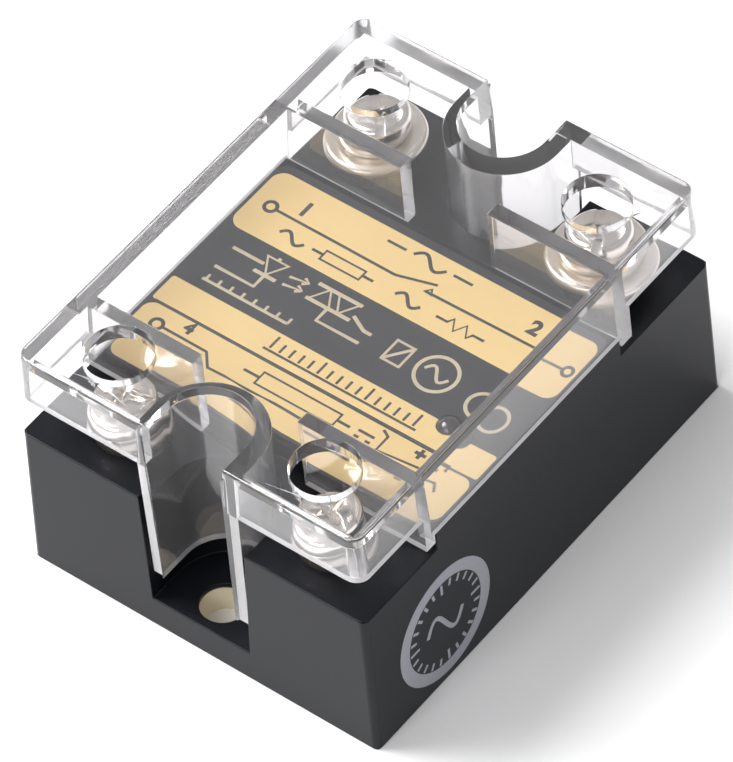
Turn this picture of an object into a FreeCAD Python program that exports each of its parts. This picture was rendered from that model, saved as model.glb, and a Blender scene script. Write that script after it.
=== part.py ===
import FreeCAD, Part
import os
import re

# Panel mount solid state relay, millimetres, +Z up, origin at the middle of the underside.
# -Y is the input end, +Y the output end, and the label reads along +X.

DIMENSIONS = {
    # Housing: a drafted black block with a raised middle, two shelves and two end notches.
    "body_length": 58.0,
    "body_width": 44.4,
    "draft_ratio": 0.0255,
    "body_edge_radius": 0.8,
    "shelf_z": 19.2,
    "block_z": 21.5,
    "block_front": -16.85,
    "block_back": 13.45,
    "ledge_z": 4.0,
    "notch_half_low": 6.24,
    "notch_half_high": 6.7,
    "notch_front": -24.7,
    "notch_back": 24.1,
    "wall": 2.2,
    "notch_wall": 1.5,
    "roof": 1.8,
    # Base plate and mounting holes.
    "plate_thickness": 3.3,
    "plate_length": 55.8,
    "plate_width": 41.2,
    "mount_spacing": 50.6,
    "mount_radius": 2.5,
    # Clear cover.
    "cover_z": 31.0,
    "cover_plate": 2.0,
    "cover_front": -28.3,
    "cover_back": 27.8,
    "cover_half": 21.3,
    "cover_draft": 0.042,
    "cover_wall": 1.35,
    "inner_draft": 0.075,
    "cover_corner_radius": 1.6,
    "cover_edge_radius": 0.35,
    "cover_rest_gap": 0.05,
    "lobe_z": 24.8,
    "tab_z": 20.4,
    "leg_z": 7.9,
    "horn_outer": 6.45,
    "horn_outer_low": 6.1,
    "horn_inner": 5.0,
    "horn_inner_low": 4.65,
    "rib_near_front": -18.5,
    "rib_near_back": -17.05,
    "rib_near_x": 6.6,
    "rib_far_front": 13.65,
    "rib_far_back": 15.35,
    "rib_far_x": 5.5,
    "access_radius": 3.6,
    # Terminals: the input pair stands closer together and lower than the output pair.
    "input_x": 12.9,
    "input_y": -22.2,
    "output_x": 14.05,
    "output_y": 20.6,
    "insert_base": 12.5,
    "insert_radius": 3.4,
    "input_flange_radius": 3.55,
    "output_flange_radius": 3.7,
    "input_seat_z": 20.25,
    "output_seat_z": 22.3,
    "bore_floor": 0.6,
    "bore_radius": 2.05,
    "shank_radius": 2.0,
    "shank_length": 6.6,
    "washer_bore_radius": 2.15,
    "input_clamp_radius": 3.55,
    "output_clamp_radius": 5.1,
    "clamp_thickness": 1.0,
    "clamp_bevel": 0.45,
    "spring_radius": 3.2,
    "spring_thickness": 0.7,
    "spring_slit": 0.6,
    "input_head_radius": 3.3,
    "output_head_radius": 3.5,
    "input_head_height": 2.0,
    "output_head_height": 2.5,
    "crown_inset": 0.5,
    "crown_height": 0.55,
    "recess_width": 0.9,
    "recess_depth": 0.9,
    "recess_reach": 1.9,
    # Label and indicator.
    "label_half": 20.4,
    "label_front": -16.3,
    "label_back": 12.7,
    "label_thickness": 0.15,
    "label_radius": 1.6,
    "lens_x": 14.9,
    "lens_y": -5.8,
    "lens_radius": 1.25,
    "lens_gap": 0.05,
    "lens_rise": 0.75,
    "lens_shoulder": 0.1,
    "lens_body": 4.5,
    "lens_leg_x": 0.7,
    # Electronics inside the resin.
    "board_z": 10.3,
    "board_thickness": 1.6,
    "board_half": 18.0,
    "board_front": -16.4,
    "board_back": 10.8,
    "ceramic_half": 17.0,
    "ceramic_front": -7.0,
    "ceramic_back": 14.0,
    "ceramic_thickness": 0.8,
    "die_x": 10.0,
    "die_size": 9.0,
    "die_thickness": 1.4,
    "strap_thickness": 0.8,
    "strap_width": 5.0,
    "strap_back": 23.6,
    "strap_y": 11.4,
    "lead_thickness": 0.6,
    "lead_width": 4.0,
    "lead_front": -25.0,
    "lead_back": -13.5,
    "link_half_width": 1.0,
    "wire_radius": 0.3,
    "leg_radius": 0.35,
    "stand_off": 0.2,
}

# Where each terminal stands and which pair it belongs to.
TERMINALS = {
    1: ("-output_x", "output_y", "output"),
    2: ("output_x", "output_y", "output"),
    3: ("input_x", "input_y", "input"),
    4: ("-input_x", "input_y", "input"),
}

KNURL_SIDES = 12
KNURL_TURNS = (0, 10, 20)

doc = FreeCAD.newDocument("SolidStateRelay")
sheet = doc.addObject("Spreadsheet::Sheet", "Dimensions")
for row, (alias, value) in enumerate(DIMENSIONS.items(), start=1):
    sheet.set(f"A{row}", alias)
    sheet.set(f"B{row}", str(value))
    sheet.setAlias(f"B{row}", alias)
doc.recompute()

subparts = []


# Tools for drawing -------------------------------------------------------------------

def formula(text):
    """Turn a formula written with plain alias names into one that reads the sheet."""
    def cell(match):
        word = match.group(0)
        return f"Dimensions.{word}" if word in DIMENSIONS else word
    return re.sub(r"[a-z_]+", cell, str(text))


def bind(item, **formulas):
    """Bind properties of an object to formulas over the sheet's cells."""
    for name, text in formulas.items():
        item.setExpression(name, formula(text))
    return item


def place(item, x=0, y=0, z=0):
    """Bind where an object stands."""
    item.setExpression("Placement.Base.x", formula(x))
    item.setExpression("Placement.Base.y", formula(y))
    item.setExpression("Placement.Base.z", formula(z))
    return item


def box(x, y, z):
    """A box between two formulas on each axis."""
    item = doc.addObject("Part::Box", "Box")
    bind(item, Length=f"({x[1]}) - ({x[0]})", Width=f"({y[1]}) - ({y[0]})", Height=f"({z[1]}) - ({z[0]})")
    return place(item, x[0], y[0], z[0])


def cylinder(radius, z, x=0, y=0):
    """An upright cylinder between two heights."""
    item = doc.addObject("Part::Cylinder", "Cylinder")
    bind(item, Radius=radius, Height=f"({z[1]}) - ({z[0]})")
    return place(item, x, y, z[0])


def lying_cylinder(radius, x, y, z):
    """A cylinder along X between two places."""
    item = doc.addObject("Part::Cylinder", "Lying")
    item.Placement.Rotation = FreeCAD.Rotation(FreeCAD.Vector(0, 1, 0), 90)
    bind(item, Radius=radius, Height=f"({x[1]}) - ({x[0]})")
    return place(item, x[0], y, z)


def cone(low, high, z, x=0, y=0):
    """An upright cone with its lower and upper radius."""
    item = doc.addObject("Part::Cone", "Cone")
    bind(item, Radius1=low, Radius2=high, Height=f"({z[1]}) - ({z[0]})")
    return place(item, x, y, z[0])


def drafted(low_x, high_x, low_y, high_y, z):
    """A block whose four side faces lean: half widths in x, and (front, back) in y, at both heights."""
    item = doc.addObject("Part::Wedge", "Drafted")
    item.Placement.Rotation = FreeCAD.Rotation(FreeCAD.Vector(1, 0, 0), 90)
    bind(item, Ymin=z[0], Ymax=z[1],
         Xmin=f"-({low_x})", Xmax=low_x, Zmin=f"-({low_y[1]})", Zmax=f"-({low_y[0]})",
         X2min=f"-({high_x})", X2max=high_x, Z2min=f"-({high_y[1]})", Z2max=f"-({high_y[0]})")
    return item


def fuse(*items):
    """Join solids into one."""
    item = doc.addObject("Part::MultiFuse", "Fused")
    item.Shapes = list(items)
    item.Refine = True
    return item


def cut(base, *tools):
    """Take solids away from a base."""
    item = doc.addObject("Part::Cut", "Cut")
    item.Base = base
    item.Tool = tools[0] if len(tools) == 1 else fuse(*tools)
    item.Refine = True
    return item


def common(base, tool):
    """What two solids share."""
    item = doc.addObject("Part::Common", "Common")
    item.Base = base
    item.Tool = tool
    item.Refine = True
    return item


def rounded(base, radius, wanted):
    """Round the edges of a base that answer true to a question about the edge."""
    doc.recompute()
    size = DIMENSIONS[radius]
    item = doc.addObject("Part::Fillet", "Rounded")
    item.Base = base
    item.Edges = [(number, size, size) for number, edge in enumerate(base.Shape.Edges, start=1)
                  if wanted(edge)]
    return item


def stands_up(edge):
    """True for an edge whose ends differ mostly in height."""
    box_of_edge = edge.BoundBox
    return box_of_edge.ZLength > 3 * max(box_of_edge.XLength, box_of_edge.YLength)


def on_cover_top(edge):
    """True for an edge that lies in the top face of the clear cover."""
    return edge.BoundBox.ZMin > DIMENSIONS["cover_z"] - 0.01


def keep(item, label):
    """Make an object a sub-part with its own name."""
    item.Label = label
    subparts.append(item)
    return item


# Housing and base plate --------------------------------------------------------------

def shrink(size, height):
    """A half size of the housing at a height, after the draft of its side faces."""
    return f"{size} / 2 - draft_ratio * ({height})"


def notch(y, end):
    """One end notch: a half round back and straight sides that open upwards."""
    top = "block_z + 1"
    gain = f"(notch_half_high - notch_half_low) * ({top} - ledge_z) / (shelf_z - ledge_z)"
    high = f"notch_half_low + {gain}"
    span = (y, end) if end == "body_length" else (end, y)
    height = ("ledge_z", top)
    channel = drafted("notch_half_low", high, span, span, height)
    return fuse(channel, cone("notch_half_low", high, height, y=y))


def cavity():
    """The space inside the housing above the base plate, clear of the two notches."""
    inner_x = "body_width / 2 - wall"
    inner_y = "body_length / 2 - wall"
    low = box((f"-({inner_x})", inner_x), (f"-({inner_y})", inner_y), ("plate_thickness", "shelf_z - roof"))
    high = box((f"-({inner_x})", inner_x), ("block_front + roof", "block_back - roof"),
               ("shelf_z - roof - 1", "block_z - roof"))
    reach = "notch_half_high + notch_wall"
    height = ("plate_thickness - 1", "block_z")
    islands = []
    for y, span in (("notch_front", ("-body_length", "notch_front")),
                    ("notch_back", ("notch_back", "body_length"))):
        islands.append(box((f"-({reach})", reach), span, height))
        islands.append(cylinder(reach, height, y=y))
    return cut(fuse(low, high), *islands)


def housing(hollow):
    """The black moulded housing, open underneath where the base plate closes it."""
    half_x = shrink("body_width", "block_z")
    half_y = shrink("body_length", "block_z")
    block = drafted("body_width / 2", half_x, ("-body_length / 2", "body_length / 2"),
                    (f"-({half_y})", half_y), ("0", "block_z"))
    block = rounded(block, "body_edge_radius", stands_up)
    beyond = ("-body_width", "body_width")
    tools = [
        box(beyond, ("-body_length", "block_front"), ("shelf_z", "block_z + 1")),
        box(beyond, ("block_back", "body_length"), ("shelf_z", "block_z + 1")),
        notch("notch_front", "-body_length"),
        notch("notch_back", "body_length"),
        box(("-plate_width / 2", "plate_width / 2"), ("-plate_length / 2", "plate_length / 2"),
            ("-1", "plate_thickness")),
        hollow,
        cylinder("lens_radius + lens_gap", ("shelf_z - 2", "block_z + 1"), "lens_x", "lens_y"),
    ]
    for side in ("-mount_spacing / 2", "mount_spacing / 2"):
        tools.append(cylinder("mount_radius", ("1", "ledge_z + 1"), y=side))
    for x, y, _ in TERMINALS.values():
        tools.append(cylinder("insert_radius", ("insert_base", "shelf_z + 1"), x, y))
    return keep(cut(block, *tools), "housing")


def base_plate():
    """The metal plate in the underside, with the two mounting holes."""
    plate = box(("-plate_width / 2", "plate_width / 2"), ("-plate_length / 2", "plate_length / 2"),
                ("0", "plate_thickness"))
    holes = [cylinder("mount_radius", ("-1", "plate_thickness + 1"), y=side)
             for side in ("-mount_spacing / 2", "mount_spacing / 2")]
    return keep(cut(plate, *holes), "base_plate")


# Clear cover -------------------------------------------------------------------------

def cover():
    """The clear cover: a plate on thin walls, four ribs, and a U shaped horn with long legs at each end."""
    drop = "(cover_z - tab_z)"
    low_x = f"cover_half + cover_draft * {drop}"
    low_y = (f"cover_front - cover_draft * {drop} / 2", f"cover_back + cover_draft * {drop} / 2")
    shell = drafted(low_x, "cover_half", low_y, ("cover_front", "cover_back"), ("tab_z", "cover_z"))
    shell = rounded(shell, "cover_corner_radius", stands_up)
    shell = rounded(shell, "cover_edge_radius", on_cover_top)

    under = "cover_z - cover_plate"
    depth = f"({under} - tab_z + 1)"
    inner_x = "cover_half - cover_wall"
    inner_y = ("cover_front + cover_wall", "cover_back - cover_wall")
    room = drafted(f"{inner_x} + inner_draft * {depth}", inner_x,
                   (f"{inner_y[0]} - cover_draft * {depth} / 2", f"{inner_y[1]} + cover_draft * {depth} / 2"),
                   inner_y, ("tab_z - 1", under))
    beyond = ("-body_width", "body_width")
    windows = [
        room,
        box(beyond, ("-body_length", "rib_near_front"), ("0", "lobe_z")),
        box(beyond, ("rib_far_back", "body_length"), ("0", "lobe_z")),
        box(beyond, ("rib_near_back", "rib_far_front"), ("0", "block_z + cover_rest_gap")),
    ]
    walls = cut(shell, *windows)

    reach = "cover_half - cover_wall / 2"
    rib_height = ("tab_z", f"{under} + 0.5")
    ribs = []
    for x, span in (("rib_near_x", ("rib_near_front", "rib_near_back")),
                    ("rib_far_x", ("rib_far_front", "rib_far_back"))):
        ribs.append(box((x, reach), span, rib_height))
        ribs.append(box((f"-({reach})", f"-({x})"), span, rib_height))

    horn_height = ("leg_z", "cover_z")
    passage_height = ("leg_z - 1", "cover_z + 1")
    horns = []
    passages = []
    for y, end in (("notch_front", "cover_front"), ("notch_back", "cover_back")):
        span = (end, y) if end == "cover_front" else (y, end)
        horns.append(drafted("horn_outer_low", "horn_outer", span, span, horn_height))
        horns.append(cone("horn_outer_low", "horn_outer", horn_height, y=y))
        beyond_end = ("-body_length", y) if end == "cover_front" else (y, "body_length")
        passages.append(drafted("horn_inner_low", "horn_inner", beyond_end, beyond_end, passage_height))
        passages.append(cone("horn_inner_low", "horn_inner", passage_height, y=y))
    envelope = fuse(shell, box(beyond, ("-body_length", "body_length"), ("0", "cover_z - 1")))
    trimmed = common(fuse(*horns), envelope)
    for x, y, _ in TERMINALS.values():
        passages.append(cylinder("access_radius", ("cover_z - cover_plate - 1", "cover_z + 1"), x, y))
    return keep(cut(fuse(walls, *ribs, trimmed), *passages), "clear_cover")


# Terminals ---------------------------------------------------------------------------

def terminal_insert(number):
    """The knurled round metal seat, with a blind bore for the screw and a stem down to its strap."""
    x, y, pair = TERMINALS[number]
    top = f"{pair}_seat_z - insert_base"
    rim = ("shelf_z - insert_base", top)
    knurls = []
    for turn in KNURL_TURNS:
        prism = doc.addObject("Part::Prism", "Knurl")
        prism.Polygon = KNURL_SIDES
        bind(prism, Circumradius=f"{pair}_flange_radius", Height=f"({rim[1]}) - ({rim[0]})")
        prism.Placement.Rotation = FreeCAD.Rotation(FreeCAD.Vector(0, 0, 1), turn)
        knurls.append(place(prism, z=rim[0]))
    stem = cylinder("insert_radius", ("0", top))
    bore = cylinder("bore_radius", ("bore_floor", f"{top} + 1"))
    item = cut(fuse(stem, *knurls), bore)
    return keep(place(item, x, y, "insert_base"), f"terminal_insert_{number}")


def clamp_washer(number):
    """The round washer that grips the wire, with a bevelled upper rim."""
    x, y, pair = TERMINALS[number]
    radius = f"{pair}_clamp_radius"
    flat = cylinder(radius, ("0", "clamp_thickness / 2"))
    bevel = cone(radius, f"{radius} - clamp_bevel", ("clamp_thickness / 2", "clamp_thickness"))
    bore = cylinder("washer_bore_radius", ("-1", "clamp_thickness + 1"))
    return keep(place(cut(fuse(flat, bevel), bore), x, y, f"{pair}_seat_z"), f"clamp_washer_{number}")


def spring_washer(number):
    """The split spring washer under the head."""
    x, y, pair = TERMINALS[number]
    ring = cylinder("spring_radius", ("0", "spring_thickness"))
    beyond = ("-1", "spring_thickness + 1")
    bore = cylinder("washer_bore_radius", beyond)
    slit = box(("0", "spring_radius + 1"), ("-spring_slit / 2", "spring_slit / 2"), beyond)
    item = cut(ring, bore, slit)
    return keep(place(item, x, y, f"{pair}_seat_z + clamp_thickness"), f"spring_washer_{number}")


def terminal_screw(number):
    """The pan head screw with a slot and a cross recess."""
    x, y, pair = TERMINALS[number]
    radius = f"{pair}_head_radius"
    height = f"{pair}_head_height"
    body = cylinder(radius, ("0", f"{height} - crown_height"))
    crown = cone(radius, f"{radius} - crown_inset", (f"{height} - crown_height", height))
    shank = cylinder("shank_radius", ("-shank_length", "0"))
    depth = (f"{height} - recess_depth", f"{height} + 1")
    width = ("-recess_width / 2", "recess_width / 2")
    slot = box((f"-{radius} - 1", f"{radius} + 1"), width, depth)
    cross = box(width, ("-recess_reach", "recess_reach"), depth)
    item = cut(fuse(body, crown, shank), slot, cross)
    seat = f"{pair}_seat_z + clamp_thickness + spring_thickness"
    return keep(place(item, x, y, seat), f"terminal_screw_{number}")


# Label and indicator -----------------------------------------------------------------

def label():
    """The printed label on the raised block, with a hole for the indicator lens."""
    height = ("block_z", "block_z + label_thickness")
    plain = box(("-label_half", "label_half"), ("label_front", "label_back"), height)
    cutter = cylinder("lens_radius + lens_gap", ("block_z - 1", "block_z + 1"), "lens_x", "lens_y")
    sheet_of_label = rounded(plain, "label_radius", lambda edge: edge.BoundBox.ZLength > 0.1)
    return keep(cut(sheet_of_label, cutter), "label")


def indicator():
    """The domed indicator lens with its body and two legs down to the board."""
    shoulder = "block_z + lens_shoulder"
    dome_radius = "(lens_radius ^ 2 + lens_rise ^ 2) / (2 * lens_rise)"
    ball = doc.addObject("Part::Sphere", "Dome")
    bind(ball, Radius=dome_radius)
    place(ball, z=f"{shoulder} + lens_rise - {dome_radius}")
    cap = common(ball, cylinder("lens_radius", (shoulder, f"{shoulder} + lens_rise")))
    body = cylinder("lens_radius", ("block_z - lens_body", shoulder))
    legs = [cylinder("wire_radius", ("board_z + board_thickness", "block_z - lens_body + 1"), x=offset)
            for offset in ("-lens_leg_x", "lens_leg_x")]
    return keep(place(fuse(body, cap, *legs), "lens_x", "lens_y"), "led_indicator")


# Electronics -------------------------------------------------------------------------

def centred_box(label_text, centre, size, low, height):
    """A box on a floor, centred in plan."""
    item = box((f"{centre[0]} - ({size[0]}) / 2", f"{centre[0]} + ({size[0]}) / 2"),
               (f"{centre[1]} - ({size[1]}) / 2", f"{centre[1]} + ({size[1]}) / 2"),
               (low, f"{low} + {height}"))
    return keep(item, label_text)


def axial(label_text, x, y, radius, length):
    """A cylindrical component lying along X above the board, with its two wires bent down to it."""
    board_top = "board_z + board_thickness"
    axis = f"{board_top} + {radius} + stand_off"
    ends = (x - length / 2 - 1, x + length / 2 + 1)
    barrel = lying_cylinder(radius, (x - length / 2, x + length / 2), y, axis)
    wire = lying_cylinder("wire_radius", ends, y, axis)
    legs = [cylinder("leg_radius", (board_top, f"{axis} + leg_radius"), end, y) for end in ends]
    return keep(fuse(barrel, wire, *legs), label_text)


def power_stage():
    """The ceramic plate, the two thyristors on it, their link and their gate pins."""
    parts = [keep(box(("-ceramic_half", "ceramic_half"), ("ceramic_front", "ceramic_back"),
                      ("plate_thickness", "plate_thickness + ceramic_thickness")), "ceramic_insulator")]
    floor = "plate_thickness + ceramic_thickness"
    for number, x in ((1, "-die_x"), (2, "die_x")):
        size = ("die_size", "die_size")
        parts.append(centred_box(f"thyristor_{number}", (x, "0"), size, floor, "die_thickness"))
        pin = cylinder("wire_radius", (f"{floor} + die_thickness", "board_z"), x, "0")
        parts.append(keep(pin, f"gate_pin_{number}"))
    link = box(("-die_x + die_size / 2", "die_x - die_size / 2"), ("-link_half_width", "link_half_width"),
               (floor, f"{floor} + strap_thickness"))
    parts.append(keep(link, "thyristor_link"))
    return parts


def output_strap(number, x):
    """The copper strap from an output insert down to the ceramic plate and its thyristor."""
    floor = "plate_thickness + ceramic_thickness"
    side = (f"{x} - strap_width / 2", f"{x} + strap_width / 2")
    tab = box(side, ("strap_y", "strap_back"), ("insert_base - strap_thickness", "insert_base"))
    riser = box(side, ("strap_y", "strap_y + strap_thickness"), (floor, "insert_base"))
    foot = box(side, ("die_size / 2", "strap_y + strap_thickness"), (floor, f"{floor} + strap_thickness"))
    return keep(fuse(tab, riser, foot), f"output_strap_{number}")


def input_lead(number, x):
    """The flat lead from an input insert to the board."""
    side = (f"{x} - lead_width / 2", f"{x} + lead_width / 2")
    item = box(side, ("lead_front", "lead_back"), ("insert_base - lead_thickness", "insert_base"))
    return keep(item, f"input_lead_{number}")


def electronics():
    """Everything that the resin encloses."""
    board_top = "board_z + board_thickness"
    parts = power_stage()
    parts.append(keep(box(("-board_half", "board_half"), ("board_front", "board_back"),
                          ("board_z", board_top)), "circuit_board"))
    for number, x in ((1, "-output_x"), (2, "output_x")):
        parts.append(output_strap(number, x))
    for number, x in ((1, "input_x"), (2, "-input_x")):
        parts.append(input_lead(number, x))
    parts.append(centred_box("optocoupler", ("0", "-4"), ("8.9", "6.6"), board_top, "3.6"))
    parts.append(centred_box("snubber_capacitor", ("-9", "6.5"), ("13", "5"), board_top, "6.4"))
    parts.append(centred_box("input_transistor", ("0", "-11.5"), ("4.6", "3.6"), board_top, "4.6"))
    parts.append(axial("snubber_resistor", 9, 6.5, 2.0, 10))
    parts.append(axial("input_resistor", -10, -9, 1.25, 6.4))
    parts.append(axial("protection_diode", 8, -10, 1.35, 4.6))
    parts.append(axial("gate_resistor_1", -11, 0, 0.9, 3.6))
    parts.append(axial("gate_resistor_2", 10, 0, 0.9, 3.6))
    return parts


def resin(hollow, buried):
    """The potting resin: the inside of the housing less every piece buried in it and the screw bores."""
    bores = [cylinder("bore_radius", ("insert_base", "block_z"), x, y) for x, y, _ in TERMINALS.values()]
    return keep(cut(hollow, *buried, *bores), "potting_resin")


# Assembly ----------------------------------------------------------------------------

hollow = cavity()
housing(hollow)
base_plate()
cover()
label()
buried = electronics()
buried.append(indicator())
for number in TERMINALS:
    buried.append(terminal_insert(number))
    clamp_washer(number)
    spring_washer(number)
    terminal_screw(number)
resin(hollow, buried)
doc.recompute()

for item in doc.Objects:
    if "Invalid" in item.State or "Error" in item.State:
        raise RuntimeError(f"{item.Name} ({item.Label}) did not recompute: {item.State}")
for item in subparts:
    shape = item.Shape
    if shape.isNull() or not shape.isValid():
        raise RuntimeError(f"{item.Label} has no valid shape")
    if len(shape.Solids) != 1:
        raise RuntimeError(f"{item.Label} has {len(shape.Solids)} solids")

os.makedirs("parts", exist_ok=True)
for item in subparts:
    item.Shape.exportStep(f"parts/{item.Label}.step")
    print(item.Label, round(item.Shape.Volume, 2), item.Shape.BoundBox)
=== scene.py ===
import math

import bpy
from mathutils import Matrix, Vector


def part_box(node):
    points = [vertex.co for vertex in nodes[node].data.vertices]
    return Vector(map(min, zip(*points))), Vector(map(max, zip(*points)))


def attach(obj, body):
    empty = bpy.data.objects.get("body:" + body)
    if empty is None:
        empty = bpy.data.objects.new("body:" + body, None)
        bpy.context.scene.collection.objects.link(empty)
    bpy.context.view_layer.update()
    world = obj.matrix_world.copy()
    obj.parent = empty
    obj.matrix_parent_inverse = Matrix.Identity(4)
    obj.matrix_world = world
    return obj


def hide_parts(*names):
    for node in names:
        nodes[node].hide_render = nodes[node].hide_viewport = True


# Looks of a panel mount solid state relay. Lengths are in metres, in the relay's own frame:
# +Z up from the underside, -Y the input end, +X the way the label reads.

MM = 0.001

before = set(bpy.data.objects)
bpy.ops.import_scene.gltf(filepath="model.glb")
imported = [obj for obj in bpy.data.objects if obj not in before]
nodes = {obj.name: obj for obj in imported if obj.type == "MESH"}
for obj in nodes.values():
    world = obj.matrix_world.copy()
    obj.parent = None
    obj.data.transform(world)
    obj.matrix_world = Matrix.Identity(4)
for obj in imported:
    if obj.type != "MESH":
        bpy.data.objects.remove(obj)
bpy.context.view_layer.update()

LABEL_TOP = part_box("label")[1].z
BODY_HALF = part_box("housing")[1].x / MM


# Shader maths ------------------------------------------------------------------------

class Socket:
    """A node socket that adds Math nodes when it is used in an expression."""

    def __init__(self, graph, link):
        self.graph = graph
        self.link = link

    def math(self, operation, *values):
        return self.graph.node("ShaderNodeMath", {"operation": operation},
                               dict(enumerate((self,) + values)))

    def __add__(self, other):
        return self.math("ADD", other)

    def __sub__(self, other):
        return self.math("SUBTRACT", other)

    def __mul__(self, other):
        return self.math("MULTIPLY", other)

    def __rsub__(self, other):
        return self.math("MULTIPLY_ADD", -1.0, other)

    __radd__ = __add__
    __rmul__ = __mul__

    def abs(self):
        return self.math("ABSOLUTE")

    def sqrt(self):
        return self.math("SQRT")

    def power(self, exponent):
        return self.math("POWER", exponent)

    def max(self, other):
        return self.math("MAXIMUM", other)

    def min(self, other):
        return self.math("MINIMUM", other)

    def step(self, low, high):
        """0 below low, 1 above high, smooth in between."""
        return self.graph.node("ShaderNodeMapRange", {"interpolation_type": "SMOOTHSTEP"},
                               {"Value": self, "From Min": low, "From Max": high})


class Finish:
    """A material with one Principled shader and a place to build its patterns."""

    def __init__(self, name, **constants):
        self.material = bpy.data.materials.new(name)
        self.material.use_nodes = True
        self.tree = self.material.node_tree
        self.shader = self.tree.nodes["Principled BSDF"]
        for socket, value in constants.items():
            self.shader.inputs[socket.replace("_", " ")].default_value = value
        self.object_place = None

    def node(self, kind, settings=None, values=None, output=0):
        """Add any node: its settings first, then the values or links of its sockets."""
        made = self.tree.nodes.new(kind)
        for setting, value in (settings or {}).items():
            setattr(made, setting, value)
        for socket, value in (values or {}).items():
            if isinstance(value, Socket):
                self.tree.links.new(value.link, made.inputs[socket])
            else:
                made.inputs[socket].default_value = value
        return Socket(self, made.outputs[output])

    def place(self):
        """The Object coordinates, as a vector."""
        if self.object_place is None:
            self.object_place = self.node("ShaderNodeTexCoord", output="Object")
        return self.object_place

    def axis(self, number):
        """One of the Object coordinates, in metres."""
        return self.node("ShaderNodeSeparateXYZ", {}, {0: self.place()}, number)

    def stretched(self, scale):
        return self.node("ShaderNodeMapping", {}, {"Vector": self.place(), "Scale": scale})

    def noise(self, scale, detail=3.0, roughness=0.55, place=None):
        """Noise from 0 to 1, with its scale in features per metre."""
        return self.node("ShaderNodeTexNoise", {},
                         {"Vector": place or self.place(), "Scale": scale,
                          "Detail": detail, "Roughness": roughness})

    def mix(self, factor, low, high):
        """A colour between two colours."""
        ends = [end if isinstance(end, Socket) else (*end, 1.0) for end in (low, high)]
        return self.node("ShaderNodeMix", {"data_type": "RGBA"},
                         {0: factor, 6: ends[0], 7: ends[1]}, 2)

    def bump(self, height, strength, distance):
        self.feed("Normal", self.node("ShaderNodeBump", {},
                                      {"Strength": strength, "Distance": distance, "Height": height}))

    def feed(self, socket, value):
        self.tree.links.new(value.link, self.shader.inputs[socket])


def shade(colour, factor):
    return tuple(min(1.0, part * factor) for part in colour)


# Finishes ----------------------------------------------------------------------------

def moulded_black():
    """Satin black moulded plastic: a fine spark eroded grain, faint clouds and rubbed patches."""
    finish = Finish("moulded_black", IOR=1.28)
    clouds = finish.noise(90.0, 4.0)
    grain = finish.noise(9000.0, 2.0)
    rubbed = finish.noise(260.0, 5.0, 0.7).step(0.58, 0.80)
    finish.feed("Base Color", finish.mix(clouds, (0.004, 0.0045, 0.006), (0.009, 0.010, 0.013)))
    finish.feed("Roughness", 0.24 + 0.10 * clouds + 0.05 * grain - 0.05 * rubbed)
    finish.bump(grain + 0.3 * rubbed, 0.12, 0.00002)
    return finish.material


def clear_polycarbonate(name, clarity, rough, tint):
    """Clear plastic with a faint haze and the long soft waves of its mould."""
    finish = Finish(name, IOR=1.585, Transmission_Weight=clarity)
    haze = finish.noise(45.0, 3.0)
    finish.feed("Base Color", finish.mix(haze, shade(tint, 0.985), tint))
    finish.feed("Roughness", rough + 0.8 * rough * haze)
    finish.bump(finish.noise(60.0, 2.0), 0.04, 0.0004)
    return finish.material


def rounded_panel(x, y, centre, half, radius):
    """Distance outside a rounded rectangle, negative inside, in metres."""
    across = (x - centre[0]).abs() - (half[0] - radius)
    along = (y - centre[1]).abs() - (half[1] - radius)
    outside = (across.max(0.0).power(2.0) + along.max(0.0).power(2.0)).sqrt()
    return outside + across.max(along).min(0.0) - radius


# Low y, high y and corner radius of each cream strip of the label, in millimetres.
STRIPS = ((2.95, 11.7, 1.5), (-9.3, -5.75, 0.35), (-15.9, -9.6, 1.3))
STRIP_HALF = 20.05 * MM
PRINT_BLUR = 0.02 * MM
CREAM = (0.98, 0.71, 0.30)
INK = (0.013, 0.014, 0.018)


def label_print():
    """Cream strips printed on a dark film under a satin lacquer."""
    finish = Finish("label_print", IOR=1.5, Coat_Weight=0.25, Coat_Roughness=0.12)
    x, y = finish.axis(0), finish.axis(1)
    nearest = None
    for low, high, radius in STRIPS:
        centre = (0.0, (low + high) / 2 * MM)
        half = (STRIP_HALF, (high - low) / 2 * MM)
        panel = rounded_panel(x, y, centre, half, radius * MM)
        nearest = panel if nearest is None else nearest.min(panel)
    outside = nearest.step(-PRINT_BLUR, PRINT_BLUR)
    mottle = finish.noise(1400.0, 3.0)
    drift = finish.noise(70.0, 2.0)
    cream = finish.mix(mottle * 0.5 + drift * 0.5, shade(CREAM, 0.93), shade(CREAM, 1.02))
    dark = finish.mix(drift, INK, shade(INK, 1.6))
    finish.feed("Base Color", finish.mix(outside, cream, dark))
    finish.feed("Roughness", 0.40 + 0.10 * mottle)
    finish.bump(mottle + 0.5 * finish.noise(5200.0, 2.0), 0.12, 0.00002)
    return finish.material


def printed_ink(name, colour, rough):
    """A thin screen printed ink with slightly uneven cover."""
    finish = Finish(name)
    cover = finish.noise(2600.0, 3.0)
    finish.feed("Base Color", finish.mix(cover, shade(colour, 0.85), shade(colour, 1.1)))
    finish.feed("Roughness", rough + 0.10 * cover)
    finish.bump(cover, 0.1, 0.00001)
    return finish.material


def plated_metal(name, colour, rough, streak):
    """Plating over turned or pressed metal: fine streaks, small spots and a warm tint."""
    finish = Finish(name, Metallic=1.0)
    spots = finish.noise(900.0, 4.0)
    streaks = finish.noise(5200.0, 3.0)
    finish.feed("Base Color", finish.mix(spots, shade(colour, 0.86), colour))
    finish.feed("Roughness", rough + streak * streaks + 0.08 * spots)
    finish.bump(streaks + 0.6 * spots, 0.14, 0.00002)
    return finish.material


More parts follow.
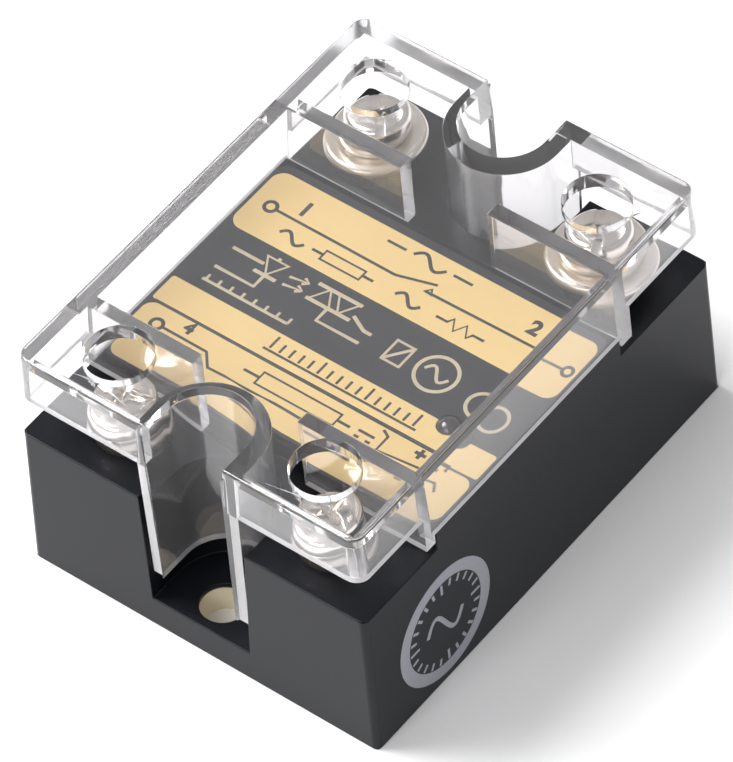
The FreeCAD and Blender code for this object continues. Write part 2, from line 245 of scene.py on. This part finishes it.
def chromated_aluminium():
    """The underside plate: milling lines along the relay under a cloudy, pale yellow coat."""
    finish = Finish("chromated_aluminium", Metallic=0.3)
    lines = finish.noise(6000.0, 3.0, 0.6, finish.stretched((1.0, 0.04, 1.0)))
    cloud = finish.noise(60.0, 3.0)
    finish.feed("Base Color", finish.mix(cloud, (0.80, 0.72, 0.54), (0.90, 0.83, 0.66)))
    finish.feed("Roughness", 0.30 + 0.18 * lines + 0.06 * cloud)
    finish.bump(lines, 0.2, 0.00002)
    return finish.material


def dark_lens():
    """The indicator lens: dark tinted resin with a glossy dome."""
    finish = Finish("dark_lens", IOR=1.5, Coat_Weight=0.6, Coat_Roughness=0.05)
    cloud = finish.noise(500.0, 2.0)
    finish.feed("Base Color", finish.mix(cloud, (0.035, 0.032, 0.036), (0.060, 0.050, 0.055)))
    finish.feed("Roughness", 0.22 + 0.08 * cloud)
    return finish.material


def hidden_piece(name, low, high, rough):
    """Finish of a piece sealed inside: a mottled colour with a fine grain."""
    finish = Finish(name)
    mottle = finish.noise(800.0, 3.0)
    finish.feed("Base Color", finish.mix(mottle, low, high))
    finish.feed("Roughness", rough + 0.1 * mottle)
    finish.bump(finish.noise(6000.0, 2.0), 0.15, 0.00002)
    return finish.material


def paint(material, *pieces):
    for piece in pieces:
        piece.data.materials.clear()
        piece.data.materials.append(material)


def dress(material, *names):
    """Give CAD nodes a finish."""
    paint(material, *[nodes[name] for name in names])


NUMBERS = (1, 2, 3, 4)


def dress_cad_nodes():
    dress(label_print(), "label")
    dress(dark_lens(), "led_indicator")
    dress(chromated_aluminium(), "base_plate")
    dress(plated_metal("insert_plate", (0.24, 0.22, 0.19), 0.34, 0.20),
          *[f"terminal_insert_{number}" for number in NUMBERS])
    dress(plated_metal("bare_copper", (0.72, 0.40, 0.24), 0.30, 0.12),
          "thyristor_link", "gate_pin_1", "gate_pin_2", "output_strap_1", "output_strap_2",
          "input_lead_1", "input_lead_2")
    dress(hidden_piece("alumina", (0.80, 0.79, 0.76), (0.88, 0.87, 0.84), 0.5),
          "ceramic_insulator")
    dress(hidden_piece("board_laminate", (0.02, 0.13, 0.05), (0.04, 0.19, 0.08), 0.35),
          "circuit_board")
    dress(hidden_piece("moulded_component", (0.02, 0.02, 0.02), (0.05, 0.05, 0.05), 0.5),
          "optocoupler", "input_transistor", "protection_diode", "thyristor_1", "thyristor_2")
    dress(hidden_piece("capacitor_case", (0.60, 0.40, 0.06), (0.72, 0.50, 0.10), 0.35),
          "snubber_capacitor")
    dress(hidden_piece("resistor_lacquer", (0.30, 0.42, 0.48), (0.40, 0.52, 0.58), 0.4),
          "snubber_resistor", "input_resistor", "gate_resistor_1", "gate_resistor_2")
    dress(hidden_piece("cured_resin", (0.03, 0.03, 0.03), (0.06, 0.06, 0.06), 0.3),
          "potting_resin")


# Modelling tools ---------------------------------------------------------------------

# How near two points are when they count as one, and the angle of a mesh edge that stays sharp.
CAD_WELD = 0.002 * MM
LATHE_WELD = 0.003 * MM
FLAT_ANGLE = 0.3
SHARP_ANGLE = 35


def deselect():
    bpy.ops.object.select_all(action="DESELECT")


def pick(piece):
    """Make a piece the only selected one."""
    deselect()
    piece.select_set(True)
    bpy.context.view_layer.objects.active = piece


def soften(piece, width, segments, angle, clamp=True):
    """Round the sharp edges of a piece with a bevel. If clamp is set, small faces narrow it."""
    pick(piece)
    bevel = piece.modifiers.new("edges", "BEVEL")
    bevel.width = width
    bevel.segments = segments
    bevel.limit_method = "ANGLE"
    bevel.angle_limit = math.radians(angle)
    bevel.use_clamp_overlap = clamp
    bpy.ops.object.modifier_apply(modifier=bevel.name)


def smooth(piece, angle=SHARP_ANGLE):
    pick(piece)
    bpy.ops.object.shade_smooth_by_angle(angle=math.radians(angle))


def flatten_shading(piece):
    """Let the large flat faces set the shading where they meet small rounded ones."""
    pick(piece)
    weighted = piece.modifiers.new("normals", "WEIGHTED_NORMAL")
    weighted.weight = 100
    weighted.keep_sharp = True
    bpy.ops.object.modifier_apply(modifier=weighted.name)


def settle(piece, matrix):
    """Move a finished piece to its place and write the place into its mesh."""
    pick(piece)
    piece.matrix_world = matrix
    bpy.ops.object.transform_apply(location=True, rotation=True, scale=True)


def merged_copy(name, width):
    """A copy of a CAD node, joined up, with its edges rounded as a mould leaves them."""
    piece = bpy.data.objects.new(f"{name}_moulding", nodes[name].data.copy())
    bpy.context.scene.collection.objects.link(piece)
    pick(piece)
    bpy.ops.object.mode_set(mode="EDIT")
    bpy.ops.mesh.select_all(action="SELECT")
    bpy.ops.mesh.remove_doubles(threshold=CAD_WELD)
    bpy.ops.mesh.dissolve_limited(angle_limit=math.radians(FLAT_ANGLE))
    bpy.ops.mesh.quads_convert_to_tris(quad_method="BEAUTY", ngon_method="BEAUTY")
    bpy.ops.object.mode_set(mode="OBJECT")
    soften(piece, width, 2, SHARP_ANGLE, clamp=False)
    smooth(piece)
    flatten_shading(piece)
    return piece


def lathe(name, profile, steps):
    """Spin a line of (radius, height) points, in millimetres, round the Z axis."""
    deselect()
    bpy.ops.mesh.primitive_plane_add(size=MM)
    piece = bpy.context.active_object
    piece.name = name
    bpy.ops.object.mode_set(mode="EDIT")
    bpy.ops.mesh.select_all(action="SELECT")
    bpy.ops.mesh.merge(type="CENTER")
    at = (0.0, 0.0)
    for number, point in enumerate(profile):
        move = ((point[0] - at[0]) * MM, 0.0, (point[1] - at[1]) * MM)
        if number == 0:
            bpy.ops.transform.translate(value=move)
        else:
            bpy.ops.mesh.extrude_region_move(TRANSFORM_OT_translate={"value": move})
        at = point
    bpy.ops.mesh.select_all(action="SELECT")
    bpy.ops.mesh.spin(steps=steps, angle=2 * math.pi,
                      center=(0.0, 0.0, 0.0), axis=(0.0, 0.0, 1.0))
    bpy.ops.mesh.select_all(action="SELECT")
    bpy.ops.mesh.remove_doubles(threshold=LATHE_WELD)
    bpy.ops.mesh.normals_make_consistent(inside=False)
    bpy.ops.object.mode_set(mode="OBJECT")
    return piece


def bar(size, top, taper):
    """A cutter bar across the axis, in millimetres, with its lower end scaled by the taper."""
    deselect()
    middle = (top - size[2] / 2) * MM
    bpy.ops.mesh.primitive_cube_add(size=1.0, location=(0.0, 0.0, middle))
    cutter = bpy.context.active_object
    cutter.scale = (size[0] * MM, size[1] * MM, size[2] * MM)
    bpy.ops.object.transform_apply(location=True, rotation=True, scale=True)
    bpy.ops.object.mode_set(mode="EDIT")
    bpy.ops.mesh.select_all(action="DESELECT")
    bpy.ops.object.mode_set(mode="OBJECT")
    for face in cutter.data.polygons:
        face.select = face.normal.z < -0.9
    bpy.ops.object.mode_set(mode="EDIT")
    bpy.ops.transform.resize(value=(taper[0], taper[1], 1.0))
    bpy.ops.object.mode_set(mode="OBJECT")
    return cutter


def carve(piece, *cutters):
    """Cut shapes out of a piece and throw the cutters away."""
    for cutter in cutters:
        pick(piece)
        cutting = piece.modifiers.new("recess", "BOOLEAN")
        cutting.operation = "DIFFERENCE"
        cutting.object = cutter
        bpy.ops.object.modifier_apply(modifier=cutting.name)
        bpy.data.objects.remove(cutter, do_unlink=True)


# Mouldings ---------------------------------------------------------------------------

HOUSING_EDGE = 0.12 * MM
COVER_EDGE = 0.06 * MM

# The order of the cover's finishes.
PLATE, SIDE, THIN_EDGE = 0, 1, 2
# A face looks along an axis, down or sideways when its normal passes these.
FACES_END = 0.8
FACES_DOWN = -0.7
FACES_SIDEWAYS = 0.5
PLATE_BELOW = 28.0 * MM
HORN_END = -28.2 * MM
HORN_HALF = 6.6 * MM


def cover_faces(cover):
    """Share out the cover's finishes: clear plate, slightly frosted sides, and thin edges made whiter
    and less clear as a painted highlight.
    """
    for face in cover.data.polygons:
        centre, normal = face.center, face.normal
        in_horn = centre.y < HORN_END and abs(centre.x) < HORN_HALF
        end_of_horn = abs(normal.y) > FACES_END and in_horn
        edge_below = normal.z < FACES_DOWN and centre.z < PLATE_BELOW
        if end_of_horn or edge_below:
            face.material_index = THIN_EDGE
        elif abs(normal.z) < FACES_SIDEWAYS:
            face.material_index = SIDE
        else:
            face.material_index = PLATE


def mouldings():
    """The housing and the clear cover, with the small edge radii of moulded parts."""
    housing = merged_copy("housing", HOUSING_EDGE)
    paint(moulded_black(), housing)
    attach(housing, "relay_body")
    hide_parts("housing")
    cover = merged_copy("clear_cover", COVER_EDGE)
    plate = clear_polycarbonate("cover_plate_clear", 0.985, 0.008, (0.998, 0.995, 1.0))
    side = clear_polycarbonate("cover_side_frosted", 0.945, 0.035, (0.998, 0.985, 0.998))
    # The thin edges get a whiter, less clear and rougher copy of the clear plastic: a painted
    # highlight for the bright lines along the cover's edges.
    edge = clear_polycarbonate("cover_edge_painted_highlight", 0.65, 0.22, (0.995, 0.98, 0.995))
    paint(plate, cover)
    cover.data.materials.append(side)
    cover.data.materials.append(edge)
    cover_faces(cover)
    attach(cover, "cover")
    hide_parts("clear_cover")


# Terminals ---------------------------------------------------------------------------

# All of these are in millimetres. For each terminal: place, seat height, head radius and height,
# clamp washer radius, and turn of the slot in degrees.
TERMINALS = {
    1: (-14.05, 20.6, 22.3, 3.5, 2.5, 5.1, -46.0),
    2: (14.05, 20.6, 22.3, 3.5, 2.5, 5.1, -58.0),
    3: (12.9, -22.2, 20.25, 3.3, 2.0, 3.55, -30.0),
    4: (-12.9, -22.2, 20.25, 3.3, 2.0, 3.55, 15.0),
}
WASHER_BORE = 2.15
CLAMP_THICK = 1.0
SPRING_THICK = 0.7
SPRING_RADIUS = 3.2
SPRING_CORNER = 0.1
SLIT_WIDTH = 0.6
SLIT_SLANT = 28
SLIT_FROM_SLOT = -75
SHANK_RADIUS = 2.0
SHANK_LENGTH = 6.6
PITCH = 0.7
THREAD_DEPTH = 0.34
THREAD_START = -0.6
TIP_LENGTH = 0.8
# The head's rounded shoulder: how far in and down it starts, and how far it reaches out and down.
SHOULDER_IN = 0.75
SHOULDER_TOP = 0.12
SHOULDER_OUT = 0.72
SHOULDER_DOWN = 0.8
HEAD_CHAMFER = 0.16
# The recess: one slot from side to side and a deeper cross in the middle.
SLOT_WIDTH = 1.15
SLOT_DEPTH = 0.7
CROSS_WIDTHS = (1.15, 1.25)
CROSS_REACH = 4.3
CROSS_DEPTH = 1.2
RECESS_ABOVE = 0.5


def screw_profile(radius, height):
    """Half section of a pan head screw, from the crown round to the tip."""
    shoulder = radius - SHOULDER_IN
    brow = height - SHOULDER_TOP
    crown = [(0.0, height), (radius * 0.45, height - 0.02), (shoulder, brow)]
    for degrees in (20, 40, 60, 80):
        turn = math.radians(degrees)
        crown.append((shoulder + SHOULDER_OUT * math.sin(turn),
                      brow - SHOULDER_DOWN * (1 - math.cos(turn))))
    under = [(radius, height - 1.0), (radius, HEAD_CHAMFER), (radius - HEAD_CHAMFER, 0.0),
             (SHANK_RADIUS, 0.0)]
    thread = []
    depth = THREAD_START
    while depth > -SHANK_LENGTH + TIP_LENGTH:
        thread += [(SHANK_RADIUS, depth), (SHANK_RADIUS - THREAD_DEPTH, depth - PITCH / 2)]
        depth -= PITCH
    tip = [(SHANK_RADIUS - 0.1, depth), (SHANK_RADIUS - 0.5, -SHANK_LENGTH),
           (0.0, -SHANK_LENGTH)]
    return crown + under + thread + tip


def standing(x, y, z, turn=0):
    """A place in millimetres with a turn about the upright axis in degrees."""
    return Matrix.Translation(Vector((x, y, z)) * MM) @ Matrix.Rotation(math.radians(turn), 4, "Z")


def terminal_screw(number, material):
    """A pan head screw with a slot across its head and a cross recess in the middle."""
    x, y, seat, radius, height, _, turn = TERMINALS[number]
    screw = lathe(f"pan_screw_{number}", screw_profile(radius, height), 72)
    reach = 2 * radius + 2
    top = height + RECESS_ABOVE
    across, along = CROSS_WIDTHS
    carve(screw, bar((reach, SLOT_WIDTH, RECESS_ABOVE + SLOT_DEPTH), top, (1.0, 0.9)),
          bar((across, CROSS_REACH, RECESS_ABOVE + CROSS_DEPTH), top, (0.6, 0.5)),
          bar((CROSS_REACH, along, RECESS_ABOVE + CROSS_DEPTH), top, (0.5, 0.6)))
    soften(screw, 0.05 * MM, 2, 40)
    smooth(screw)
    paint(material, screw)
    settle(screw, standing(x, y, seat + CLAMP_THICK + SPRING_THICK, turn))
    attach(screw, f"screw_{number}")
    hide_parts(f"terminal_screw_{number}")


def washer_profile(radius):
    """Closed half section of a pressed washer with a rolled upper rim."""
    thick, bore = CLAMP_THICK, WASHER_BORE
    rim = [(radius - 0.55, thick), (radius - 0.30, thick - 0.06), (radius - 0.10, thick - 0.24),
           (radius, thick - 0.50), (radius, 0.16), (radius - 0.10, 0.03), (radius - 0.25, 0.0)]
    inside = [(bore + 0.1, 0.0), (bore, 0.1), (bore, thick - 0.1), (bore + 0.1, thick)]
    return [(bore + 0.1, thick)] + rim + inside


def clamp_washer(number, material):
    x, y, seat, _, _, radius, _ = TERMINALS[number]
    washer = lathe(f"pressed_washer_{number}", washer_profile(radius), 96)
    smooth(washer, 50)
    paint(material, washer)
    settle(washer, standing(x, y, seat))
    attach(washer, f"clamp_{number}")
    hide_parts(f"clamp_washer_{number}")


def spring_profile():
    """Closed half section of the split ring, with its four corners cut."""
    thick, outer, inner, corner = SPRING_THICK, SPRING_RADIUS, WASHER_BORE, SPRING_CORNER
    return [(inner + corner, thick), (outer - corner, thick), (outer, thick - corner),
            (outer, corner), (outer - corner, 0.0), (inner + corner, 0.0),
            (inner, corner), (inner, thick - corner), (inner + corner, thick)]


def spring_washer(number, material):
    """A split ring with a slanting slit, turned so that it faces the way it was fitted."""
    x, y, seat, _, _, _, turn = TERMINALS[number]
    ring = lathe(f"split_ring_{number}", spring_profile(), 72)
    deselect()
    bpy.ops.mesh.primitive_cube_add(size=1.0, location=(2.7 * MM, 0.0, SPRING_THICK / 2 * MM))
    slit = bpy.context.active_object
    slit.scale = (3.0 * MM, SLIT_WIDTH * MM, 3.0 * MM)
    slit.rotation_euler.x = math.radians(SLIT_SLANT)
    bpy.ops.object.transform_apply(location=False, rotation=True, scale=True)
    carve(ring, slit)
    smooth(ring)
    paint(material, ring)
    settle(ring, standing(x, y, seat + CLAMP_THICK, turn + SLIT_FROM_SLOT))
    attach(ring, f"clamp_{number}")
    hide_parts(f"spring_washer_{number}")


def terminals():
    bright = plated_metal("bright_nickel", (0.86, 0.81, 0.76), 0.12, 0.08)
    satin = plated_metal("satin_nickel", (0.80, 0.74, 0.67), 0.22, 0.12)
    for number in NUMBERS:
        terminal_screw(number, bright)
        clamp_washer(number, satin)
        spring_washer(number, satin)


# Printing ----------------------------------------------------------------------------

INK_THICK = 0.02
TEXT_SWELL = 0.11

# Name, character, place on the label and size, in millimetres.
CHARACTERS = (
    ("number_1", "1", (-14.4, 8.7), 2.6),
    ("number_2", "2", (14.4, 9.1), 2.6),
    ("number_4", "4", (-14.2, -10.5), 2.0),
    ("sign_plus", "+", (14.9, -10.5), 2.3),
    ("sign_minus", "-", (14.9, -12.7), 2.5),
)


def ink_strokes(name, strokes, material, place):
    """Flat printed lines. A stroke is its width and its points on the sheet, in millimetres."""
    pieces = []
    for width, points in strokes:
        curve = bpy.data.curves.new(name, "CURVE")
        curve.dimensions = "3D"
        curve.bevel_depth = width / 2 * MM
        curve.bevel_resolution = 2
        curve.use_fill_caps = True
        closed = points[0] == points[-1] and len(points) > 2
        kept = points[:-1] if closed else points
        line = curve.splines.new("POLY")
        line.points.add(len(kept) - 1)
        for spot, (x, y) in zip(line.points, kept):
            spot.co = (x * MM, y * MM, 0.0, 1.0)
        line.use_cyclic_u = closed
        piece = bpy.data.objects.new(name, curve)
        bpy.context.scene.collection.objects.link(piece)
        pick(piece)
        bpy.ops.object.convert(target="MESH")
        piece.scale.z = INK_THICK / (width / 2)
        bpy.ops.object.transform_apply(location=False, rotation=False, scale=True)
        pieces.append(piece)
    deselect()
    for piece in pieces:
        piece.select_set(True)
    bpy.context.view_layer.objects.active = pieces[0]
    bpy.ops.object.join()
    print_layer = bpy.context.active_object
    print_layer.name = name
    paint(material, print_layer)
    smooth(print_layer)
    settle(print_layer, place)
    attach(print_layer, "relay_body")
    return print_layer


def terminal_numbers(material, place):
    """The terminals' numbers and signs."""
    for name, sign, spot, size in CHARACTERS:
        deselect()
        bpy.ops.object.text_add(location=(0.0, 0.0, 0.0))
        text = bpy.context.active_object
        text.name = name
        text.data.body = sign
        text.data.size = size * MM
        text.data.extrude = INK_THICK * MM
        text.data.align_x = "CENTER"
        text.data.align_y = "CENTER"
        text.data.offset = TEXT_SWELL * MM
        bpy.ops.object.convert(target="MESH")
        paint(material, text)
        settle(text, place @ Matrix.Translation(Vector((spot[0], spot[1], 0.0)) * MM))
        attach(text, "relay_body")


def ring(x, y, radius, count=28):
    turns = [2 * math.pi * n / count for n in range(count)]
    points = [(x + radius * math.cos(turn), y + radius * math.sin(turn)) for turn in turns]
    return points + [(x + radius, y)]


def wave(x, y, length, height, count=20):
    """One period of a sine."""
    return [(x - length / 2 + length * n / count, y + height * math.sin(2 * math.pi * n / count))
            for n in range(count + 1)]


def triangle(x, y, size, way):
    """A closed triangle whose point looks up (1) or down (-1)."""
    foot = y - way * size / 2
    left = (x - size * 0.6, foot)
    return [left, (x + size * 0.6, foot), (x, y + way * size / 2), left]


def ruler(x, y, pitch, count, height, every_fifth=0.0):
    """Upright ticks in a row. Every fifth, counted from the first, is longer."""
    return [[(x + pitch * n, y), (x + pitch * n, y + height + (0.0 if n % 5 else every_fifth))]
            for n in range(count)]


DARK_STROKES = [
    # Switch between terminals 1 and 2.
    (0.42, ring(-17.65, 7.1, 0.68)),
    (0.34, [(-16.9, 7.05), (-1.55, 6.92), (2.9, 8.2)]),
    (0.34, [(2.3, 6.9), (16.6, 7.1), (18.2, 7.1)]),
    (0.34, [(2.2, 6.85), (2.75, 7.45), (3.2, 6.75), (2.2, 6.85)]),
    (0.42, ring(18.9, 7.1, 0.62)),
    # Alternating current, a load and a fuse below and above the switch.
    (0.40, wave(-13.2, 4.9, 3.2, 0.62)),
    (0.34, [(-9.2, 4.3), (-4.2, 4.3), (-4.2, 5.6), (-9.2, 5.6), (-9.2, 4.3)]),
    (0.34, [(-10.6, 4.95), (-9.2, 4.95)]),
    (0.34, [(-4.2, 4.95), (-2.8, 4.95)]),
    (0.40, wave(1.6, 4.9, 3.2, 0.62)),
    (0.34, [(5.2, 4.9), (6.6, 4.9), (7.0, 5.6), (7.8, 4.2), (8.6, 5.6), (9.4, 4.2), (9.8, 4.9),
            (11.2, 4.9)]),
    (0.40, wave(0.4, 10.2, 4.2, 0.75)),
    (0.34, [(-5.0, 10.2), (-2.6, 10.2)]),
    (0.34, [(3.4, 10.2), (5.8, 10.2)]),
    # Row of calibration ticks on the middle strip.
    *[(0.30, tick) for tick in ruler(-6.0, -7.9, 1.2, 16, 1.2, 0.5)],
    (0.30, [(-6.6, -8.2), (12.6, -8.2)]),
    # Border line of the input strip.
    (0.38, [(-19.6, -9.42), (16.3, -9.25), (16.3, -10.1)]),
    # Input terminals and the direct current between them.
    (0.42, ring(-17.35, -11.85, 0.68)),
    (0.34, [(-16.6, -11.86), (-10.9, -11.9), (-9.5, -13.5), (9.0, -13.4)]),
    (0.34, [(10.0, -9.9), (10.9, -10.4), (10.9, -12.4), (16.4, -11.8), (17.1, -12.8)]),
    (0.34, [(9.9, -13.3), (10.9, -12.4)]),
    (0.34, [(7.9, -11.3), (9.9, -11.3)]),
    (0.34, [(7.9, -12.1), (8.5, -12.1)]),
    (0.34, [(9.3, -12.1), (9.9, -12.1)]),
    (0.34, [(-4.4, -10.7), (5.4, -10.7), (5.4, -12.4), (-4.4, -12.4), (-4.4, -10.7)]),
    (0.34, [(-6.4, -11.55), (-4.4, -11.55)]),
    (0.34, [(5.4, -11.55), (7.0, -11.55)]),
]

CREAM_STROKES = [
    # Light emitting diode, its light, and the switch that it works.
    (0.42, [(-17.4, 0.6), (-13.4, 0.6)]),
    (0.46, triangle(-12.4, 0.6, 2.2, -1)),
    (0.46, [(-13.8, -0.6), (-11.0, -0.6)]),
    (0.42, [(-12.4, -0.6), (-12.4, -2.4), (-17.4, -2.4)]),
    (0.42, [(-12.4, 1.7), (-12.4, 2.1)]),
    (0.36, [(-10.2, 0.7), (-8.0, 1.1), (-8.7, 1.45)]),
    (0.36, [(-8.0, 1.1), (-8.6, 0.6)]),
    (0.36, [(-10.2, -0.5), (-8.0, -0.1), (-8.7, 0.25)]),
    (0.36, [(-8.0, -0.1), (-8.6, -0.6)]),
    (0.46, triangle(-5.6, 0.6, 2.2, 1)),
    (0.46, triangle(-3.2, 0.6, 2.2, -1)),
    (0.46, [(-7.2, 1.7), (-1.6, 1.7)]),
    (0.46, [(-7.2, -0.5), (-1.6, -0.5)]),
    (0.42, [(-4.4, -0.5), (-4.4, -2.4), (1.0, -2.4)]),
    (0.42, [(-1.6, 0.2), (0.4, -0.8), (1.4, -0.8)]),
    # Row of contact and coil signs.
    (0.42, ring(9.9, -1.2, 2.3, 40)),
    (0.36, wave(9.9, -1.2, 3.0, 0.8)),
    (0.42, [(4.0, 0.2), (6.2, 0.2), (6.2, -2.6), (4.0, -2.6), (4.0, 0.2)]),
    (0.36, [(4.0, -2.6), (6.2, 0.2)]),
    (0.36, [(-17.4, -4.4), (-6.5, -4.4)]),
    *[(0.32, tick) for tick in ruler(-17.0, -4.4, 1.5, 8, 0.8)],
    (0.42, ring(16.2, -2.0, 1.7, 32)),
]


DIAL_TICKS = 24
DIAL_RIM = 6.5
DIAL_TICK_END = 5.6


def badge_strokes():
    """A round dial: a heavy rim, a sine in the middle and ticks all round."""
    strokes = [(1.5, ring(0.0, 0.0, DIAL_RIM, 72)), (0.55, wave(0.0, 0.0, 5.6, 1.7, 32))]
    for number in range(DIAL_TICKS):
        turn = 2 * math.pi * number / DIAL_TICKS
        inner = 4.2 if number % 6 == 0 else 4.7
        strokes.append((0.36, [(reach * math.cos(turn), reach * math.sin(turn))
                               for reach in (inner, DIAL_TICK_END)]))
    return strokes


# The lean of the housing's side, and where on it the badge sits (along Y and up).
SIDE_DRAFT = 0.0255
BADGE_PLACE = (-17.0, 8.1)


def printing():
    label_place = Matrix.Translation((0.0, 0.0, LABEL_TOP))
    dark = printed_ink("label_dark_ink", (0.035, 0.030, 0.026), 0.40)
    cream = printed_ink("label_cream_ink", (0.66, 0.56, 0.38), 0.40)
    ink_strokes("label_lines_dark", DARK_STROKES, dark, label_place)
    ink_strokes("label_lines_cream", CREAM_STROKES, cream, label_place)
    terminal_numbers(dark, label_place)
    y, z = BADGE_PLACE
    half_width = BODY_HALF - SIDE_DRAFT * z
    upright = Matrix(((0, 0, 1, 0), (1, 0, 0, 0), (0, 1, 0, 0), (0, 0, 0, 1)))
    lean = Matrix.Rotation(-math.atan(SIDE_DRAFT), 4, "Y")
    badge_place = Matrix.Translation(Vector((half_width, y, z)) * MM) @ lean @ upright
    grey = printed_ink("badge_grey_ink", (0.30, 0.30, 0.34), 0.45)
    ink_strokes("side_badge", badge_strokes(), grey, badge_place)


# Scene -------------------------------------------------------------------------------

LENS_MM = 329.4
SENSOR_MM = 36.0
AIM = Vector((-1.437, 0.934, 12.0)) * MM
DISTANCE = 679.97 * MM
AZIMUTH = math.radians(42.04)
ELEVATION = math.radians(49.24)
ROLL = math.radians(-5.73)

# Name, place and size in metres, and power in watts.
LIGHTS = (
    ("key", (-0.62, -0.17, 0.92), (0.6, 0.6), 19.0),
    ("fill", (0.10, -0.90, 0.75), (0.7, 0.5), 6.0),
)
LIGHTS_AIM = Vector((0.0, 0.0, 0.015))
FLOOR_SIZE = 6.0
FLOOR_Z = -0.05 * MM
BOUNCES = 24


def camera():
    data = bpy.data.cameras.new("view")
    data.lens = LENS_MM
    data.sensor_width = SENSOR_MM
    data.sensor_fit = "HORIZONTAL"
    data.clip_start = 0.01
    data.clip_end = 10.0
    view = bpy.data.objects.new("view", data)
    bpy.context.scene.collection.objects.link(view)
    back = Vector((math.sin(AZIMUTH) * math.cos(ELEVATION),
                   -math.cos(AZIMUTH) * math.cos(ELEVATION),
                   math.sin(ELEVATION)))
    turn = (-back).to_track_quat("-Z", "Y").to_matrix().to_4x4() @ Matrix.Rotation(ROLL, 4, "Z")
    view.matrix_world = Matrix.Translation(AIM + back * DISTANCE) @ turn
    bpy.context.scene.camera = view


def soft_light(name, place, size, power):
    """An area light that looks at the relay."""
    data = bpy.data.lights.new(name, "AREA")
    data.shape = "RECTANGLE"
    data.size = size[0]
    data.size_y = size[1]
    data.energy = power
    lamp = bpy.data.objects.new(name, data)
    bpy.context.scene.collection.objects.link(lamp)
    aim = LIGHTS_AIM - Vector(place)
    turn = aim.to_track_quat("-Z", "Y").to_matrix().to_4x4()
    lamp.matrix_world = Matrix.Translation(place) @ turn


def pale_floor():
    deselect()
    bpy.ops.mesh.primitive_grid_add(x_subdivisions=8, y_subdivisions=8, size=FLOOR_SIZE,
                                    location=(0.0, 0.0, FLOOR_Z))
    floor = bpy.context.active_object
    floor.name = "floor"
    finish = Finish("pale_floor", Roughness=0.8)
    cloud = finish.noise(3.0, 2.0)
    finish.feed("Base Color", finish.mix(cloud, (0.80, 0.80, 0.80), (0.83, 0.83, 0.83)))
    paint(finish.material, floor)


def world_light():
    world = bpy.data.worlds.new("pale_surround")
    bpy.context.scene.world = world
    world.use_nodes = True
    background = world.node_tree.nodes["Background"]
    background.inputs["Color"].default_value = (0.98, 0.98, 1.0, 1.0)
    background.inputs["Strength"].default_value = 0.5


bpy.context.scene.view_settings.view_transform = "Standard"
bpy.context.scene.cycles.max_bounces = BOUNCES
bpy.context.scene.cycles.transmission_bounces = BOUNCES
camera()
pale_floor()
world_light()
for light in LIGHTS:
    soft_light(*light)
dress_cad_nodes()
mouldings()
terminals()
printing()

bpy.context.view_layer.update()
